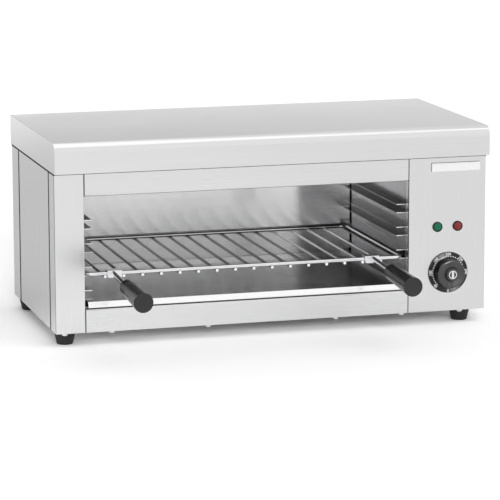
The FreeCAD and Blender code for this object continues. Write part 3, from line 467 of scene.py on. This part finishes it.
def dial_dots(material):
    shape = bmesh.new()
    for angle in range(DOT_FIRST, -1, -DOT_STEP):
        front = []
        back = []
        for side in range(DOT_SIDES):
            turn = 2 * math.pi * side / DOT_SIDES
            offset = Vector((math.cos(turn), 0, math.sin(turn))) * DOT_SIZE
            front.append(shape.verts.new(on_dial(angle, DOT_RADIUS) + offset))
            back.append(shape.verts.new(on_dial(angle, DOT_RADIUS, 0) + offset))
        shape.faces.new(front)
        shape.faces.new(back[::-1])
        for i in range(DOT_SIDES):
            j = (i + 1) % DOT_SIDES
            shape.faces.new((front[j], front[i], back[i], back[j]))
    return piece_from(shape, "dial_dots", material)


def text_mesh(words, size, depth):
    curve = bpy.data.curves.new("words", "FONT")
    curve.body = words
    curve.size = size
    curve.extrude = depth / 2
    curve.align_x = "CENTER"
    curve.align_y = "CENTER"
    curve.resolution_u = LETTER_STEPS
    holder = bpy.data.objects.new("words", curve)
    bpy.context.scene.collection.objects.link(holder)
    graph = bpy.context.evaluated_depsgraph_get()
    mesh = bpy.data.meshes.new_from_object(holder.evaluated_get(graph))
    bpy.data.objects.remove(holder)
    return mesh


def dial_numbers(material):
    shape = bmesh.new()
    stand = Matrix(((1, 0, 0), (0, 0, -1), (0, 1, 0))).to_4x4()
    for angle, words in DIAL_MARKS:
        mesh = text_mesh(words, NUMBER_SIZE, PRINT_LIFT)
        turn = Matrix.Rotation(math.radians(90 - angle), 4, "Y")
        place = Matrix.Translation(on_dial(angle, NUMBER_RADIUS, PRINT_LIFT / 2))
        mesh.transform(place @ turn @ stand)
        shape.from_mesh(mesh)
        bpy.data.meshes.remove(mesh)
    bmesh.ops.remove_doubles(shape, verts=shape.verts, dist=WELD)
    return piece_from(shape, "dial_numbers", material)


dial_print = plastic("dial_print", (0.93, 0.93, 0.92), 0.5, lift=1.03, depth=0.03)
printing = [dial_dots(dial_print), dial_numbers(dial_print)]


# Dark strips put where there is only shade: painted shade in the seams of the casing and under the lid

UNDER_LID_FRONT = 0.00265
UNDER_LID_SIDE = 0.0032
SIDE_SEAM = 0.0026
SHADE_STRIP_PROUD = 0.00015
SIDE_SHADE_STRIP_PROUD = 0.0001
CORNER_LINE = 0.0022
BOX_FACES = (((0, 0, 0), (0, 0, 1), (0, 1, 1), (0, 1, 0)), ((1, 0, 0), (1, 1, 0), (1, 1, 1), (1, 0, 1)),
             ((0, 0, 0), (1, 0, 0), (1, 0, 1), (0, 0, 1)), ((0, 1, 0), (0, 1, 1), (1, 1, 1), (1, 1, 0)),
             ((0, 0, 0), (0, 1, 0), (1, 1, 0), (1, 0, 0)), ((0, 0, 1), (1, 0, 1), (1, 1, 1), (0, 1, 1)))


def seam_shade_strips():
    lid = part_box("top_cover")
    post, post_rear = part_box("front_left_post"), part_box("rear_left_post")
    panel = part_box("control_panel")
    side, side_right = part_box("left_side_panel"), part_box("right_side_panel")
    rail_top, rail_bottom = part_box("top_front_rail"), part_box("bottom_front_rail")
    front, back = post[0][1], post_rear[1][1]
    left, right = post[0][0], panel[1][0]
    base, brim = post[0][2], lid[0][2]
    strips = []

    def strip(x0, x1, y0, y1, z0, z1):
        strips.append((Vector((x0, y0, z0)), Vector((x1, y1, z1))))

    # Painted shade under the lid's front and side skirts.
    strip(left, right, front - SHADE_STRIP_PROUD, front, brim - UNDER_LID_FRONT, brim)
    strip(left - SHADE_STRIP_PROUD, left, front, back, brim - UNDER_LID_SIDE, brim)
    strip(right, right + SHADE_STRIP_PROUD, front, back, brim - UNDER_LID_SIDE, brim)
    # Painted shade in the seams between the front rails and the post and control panel.
    for rail in (rail_top, rail_bottom):
        top = min(rail[1][2], brim)
        strip(post[1][0], rail[0][0], front + SHEET / 4, front + SHEET, rail[0][2], top)
        strip(rail[1][0], panel[0][0], front + SHEET / 4, front + SHEET, rail[0][2], top)
    # Painted shade in the side seams, widened by SIDE_SEAM at the front of each side panel.
    for skin, inward, plate in ((left, 1, side), (right, -1, side_right)):
        for y0, y1 in ((post[1][1], plate[0][1]), (plate[1][1], post_rear[0][1])):
            x0, x1 = sorted((skin - inward * SIDE_SHADE_STRIP_PROUD, skin + inward * SHEET / 2))
            strip(x0, x1, y0, y1 + (SIDE_SEAM if y1 == plate[0][1] else 0.0), base, brim)
    # Painted shade along the control panel's left edge between the rails.
    strip(panel[0][0] - SHADE_STRIP_PROUD / 3, panel[0][0], front + SHEET / 2, front + SHEET / 2 + CORNER_LINE,
          rail_bottom[1][2], rail_top[0][2])

    shape = bmesh.new()
    for low, high in strips:
        corners = [[[shape.verts.new((x, y, z)) for z in (low[2], high[2])]
                    for y in (low[1], high[1])] for x in (low[0], high[0])]
        for face in BOX_FACES:
            shape.faces.new([corners[i][j][k] for i, j, k in face])
    return piece_from(shape, "seam_shade_strips",
                      plastic("seam_shade_black", (0.006, 0.006, 0.006), 0.7, depth=0.1))


seam_shade_strips()


# Stage, lights and camera

# Floor as metal sees it, with the stretches of x or y over which it changes
FRONT_GLOSS = 1.13
RIGHT_FALL, RIGHT_FALL_X = 0.92, (0.15, 0.55)
FOOT_GLOSS, FOOT_X, FOOT_Y = 0.20, (-0.2, 0.1), (-0.5, -0.2)
REAR_GLOSS, REAR_Y = 0.76, (-0.1, 0.3)
FAR_GLOSS, FAR_Y = 1.06, (1.62, 2.12)
SHADE_ALBEDO = 0.8
SHOWN_ALBEDO = 1.22
FLOOR_SPAN = 8.0

# Room as metal sees it, with the stretches of direction over which it changes
AMBIENT = 0.60
ROOM_GLOSS = 0.98
BEHIND_Y = (-0.3, 0.3)
HORIZON_GLOSS, FALLEN_GLOSS, RISEN_GLOSS = 1.10, 0.55, 0.72
FALL_FROM_Z = 0.03
FALL_TO_Z, FALL_X = (0.13, 0.30), (0.20, 0.36)
RISE_Z = (0.19, 0.30)
CEILING_GLOSS, CEILING_Z = 0.86, (0.30, 0.36)
SOFTBOX_GLOSS, SOFTBOX_BLUR = 1.34, (-0.04, 0.04)
SOFTBOX_REAR_Y, SOFTBOX_X = (0.80, -0.15), (0.20, 0.35)
SOFTBOX_FRONT_Y = (-0.46, -0.38)

GLINT_SIDE = Vector((0.229, -0.970, 0.074))
GLINT_DISTANCE = 1.5
GLINT_POWER = 34.0
GLINT_RADIUS = 0.10


def light_path_any(tree, *names):
    path = node(tree, "ShaderNodeLightPath")
    value = path.outputs[names[0]]
    for name in names[1:]:
        value = math_node(tree, "MAXIMUM", value, path.outputs[name])
    return value


def make_floor():
    """White floor that metal sees a little darker behind the object than before it."""
    mesh = bpy.data.meshes.new("floor")
    corners = [(x * FLOOR_SPAN, y * FLOOR_SPAN, 0) for x, y in ((-1, -1), (1, -1), (1, 1), (-1, 1))]
    mesh.from_pydata(corners, [], [(0, 1, 2, 3)])
    floor = bpy.data.objects.new("floor", mesh)
    bpy.context.scene.collection.objects.link(floor)
    material = bpy.data.materials.new("floor_white")
    material.use_nodes = True
    tree = material.node_tree
    tree.nodes.clear()
    output = tree.nodes.new("ShaderNodeOutputMaterial")
    diffuse = tree.nodes.new("ShaderNodeBsdfDiffuse")
    across, depth, height = split(tree, object_point(tree))
    front = remap(tree, across, FRONT_GLOSS, FRONT_GLOSS * RIGHT_FALL, *RIGHT_FALL_X, smooth=True)
    foot = math_node(tree, "MULTIPLY", remap(tree, across, FOOT_GLOSS, 0.0, *FOOT_X),
                     remap(tree, depth, 0.0, 1.0, *FOOT_Y))
    front = math_node(tree, "ADD", front, foot)
    near = blended(tree, remap(tree, depth, 0.0, 1.0, *REAR_Y, smooth=True), front, REAR_GLOSS)
    gloss = blended(tree, remap(tree, depth, 0.0, 1.0, *FAR_Y), near, FAR_GLOSS)
    level = blended(tree, light_path_any(tree, "Is Glossy Ray", "Is Transmission Ray"), SHADE_ALBEDO, gloss)
    level = blended(tree, light_path_any(tree, "Is Camera Ray"), level, SHOWN_ALBEDO)
    tree.links.new(level, diffuse.inputs["Color"])
    tree.links.new(diffuse.outputs[0], output.inputs[0])
    mesh.materials.append(material)


def make_world():
    """Even white room; metal sees a soft box overhead and a horizon that pales behind the object."""
    world = bpy.data.worlds.new("studio")
    bpy.context.scene.world = world
    world.use_nodes = True
    tree = world.node_tree
    tree.nodes.clear()
    output = tree.nodes.new("ShaderNodeOutputWorld")
    x, y, z = split(tree, node(tree, "ShaderNodeTexCoord").outputs["Generated"])
    fallen = remap(tree, x, *FALL_TO_Z, *FALL_X)
    falling = remap(tree, z, HORIZON_GLOSS, FALLEN_GLOSS, FALL_FROM_Z, fallen, smooth=True)
    risen = remap(tree, z, 0.0, 1.0, *RISE_Z, smooth=True)
    behind = remap(tree, y, 0.0, 1.0, *BEHIND_Y)
    low = blended(tree, behind, ROOM_GLOSS, blended(tree, risen, falling, RISEN_GLOSS))
    high = blended(tree, behind, ROOM_GLOSS, CEILING_GLOSS)
    ceiling = remap(tree, z, 0.0, 1.0, *CEILING_Z)
    room = blended(tree, ceiling, low, high)
    edge = math_node(tree, "SUBTRACT", remap(tree, x, *SOFTBOX_REAR_Y, *SOFTBOX_X), y)
    width = math_node(tree, "MULTIPLY", remap(tree, edge, 0.0, 1.0, *SOFTBOX_BLUR, smooth=True),
                      remap(tree, y, 0.0, 1.0, *SOFTBOX_FRONT_Y, smooth=True))
    softbox = math_node(tree, "MULTIPLY", width, ceiling)
    level = blended(tree, softbox, room, SOFTBOX_GLOSS)
    ambient = tree.nodes.new("ShaderNodeBackground")
    ambient.inputs["Strength"].default_value = AMBIENT
    glossy = tree.nodes.new("ShaderNodeBackground")
    tree.links.new(level, glossy.inputs["Strength"])
    shown = tree.nodes.new("ShaderNodeBackground")
    shown.inputs["Strength"].default_value = 1.0
    for background in (ambient, glossy, shown):
        background.inputs["Color"].default_value = (1, 1, 1, 1)
    mix = tree.nodes.new("ShaderNodeMixShader")
    tree.links.new(light_path_any(tree, "Is Glossy Ray", "Is Transmission Ray"), mix.inputs[0])
    tree.links.new(ambient.outputs[0], mix.inputs[1])
    tree.links.new(glossy.outputs[0], mix.inputs[2])
    last = tree.nodes.new("ShaderNodeMixShader")
    tree.links.new(light_path_any(tree, "Is Camera Ray"), last.inputs[0])
    tree.links.new(mix.outputs[0], last.inputs[1])
    tree.links.new(shown.outputs[0], last.inputs[2])
    tree.links.new(last.outputs[0], output.inputs[0])


def make_sun(name, towards, strength, angle):
    """Soft lamp that metal doesn't mirror."""
    lamp = bpy.data.lights.new(name, "SUN")
    lamp.energy = strength
    lamp.angle = math.radians(angle)
    made = bpy.data.objects.new(name, lamp)
    made.rotation_mode = "QUATERNION"
    made.rotation_quaternion = Vector(towards).to_track_quat("-Z", "Y")
    made.visible_glossy = False
    bpy.context.scene.collection.objects.link(made)


def make_glint(receivers):
    """Small lamp that reaches only the dial and the knob and puts the glare on them."""
    lamp = bpy.data.lights.new("glint", "POINT")
    lamp.energy = GLINT_POWER
    lamp.shadow_soft_size = GLINT_RADIUS
    made = bpy.data.objects.new("glint", lamp)
    made.location = Vector(dial_centre) + GLINT_SIDE * GLINT_DISTANCE
    bpy.context.scene.collection.objects.link(made)
    lit = bpy.data.collections.new("glint_receivers")
    for piece in receivers:
        lit.objects.link(piece)
    made.light_linking.receiver_collection = lit


# The camera stands before the bottom rail's lower front edge, where the photograph was taken from.
CAMERA_FROM_RAIL = Vector((-1.045, -3.563, 0.795))
CAMERA_YAW = -15.84
CAMERA_PITCH = 10.64
CAMERA_ROLL = -0.14
FOCAL_PIXELS = 2820.0
IMAGE_PIXELS = 500.0
SENSOR_MM = 36.0
CLIP = (0.1, 60.0)


def make_camera():
    yaw, pitch, roll = (math.radians(v) for v in (CAMERA_YAW, CAMERA_PITCH, CAMERA_ROLL))
    swap = Matrix(((1, 0, 0), (0, 0, -1), (0, 1, 0)))
    turn = Matrix.Rotation(-yaw, 3, "Z")
    nod = Matrix.Rotation(pitch, 3, "X")
    lean = Matrix.Rotation(roll, 3, "Z")
    rows = lean @ nod @ swap @ turn
    columns = Matrix((rows[0], -rows[1], -rows[2])).transposed()
    rail_low, rail_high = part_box("bottom_front_rail")
    place = Vector((0, rail_low[1], rail_low[2])) + CAMERA_FROM_RAIL
    data = bpy.data.cameras.new("camera")
    data.sensor_width = SENSOR_MM
    data.lens = FOCAL_PIXELS / IMAGE_PIXELS * SENSOR_MM
    data.clip_start, data.clip_end = CLIP
    camera = bpy.data.objects.new("camera", data)
    camera.matrix_world = Matrix.Translation(place) @ columns.to_4x4()
    bpy.context.scene.collection.objects.link(camera)
    bpy.context.scene.camera = camera


make_floor()
make_world()
make_sun("fill", (-0.65, 0.50, -1.0), 0.6, 55)
make_sun("key", (0.128, 0.916, -0.380), 1.0, 14)
make_glint([nodes["dial_plate"], nodes["thermostat_knob"], *printing])
make_camera()
bpy.context.scene.view_settings.view_transform = "Standard"
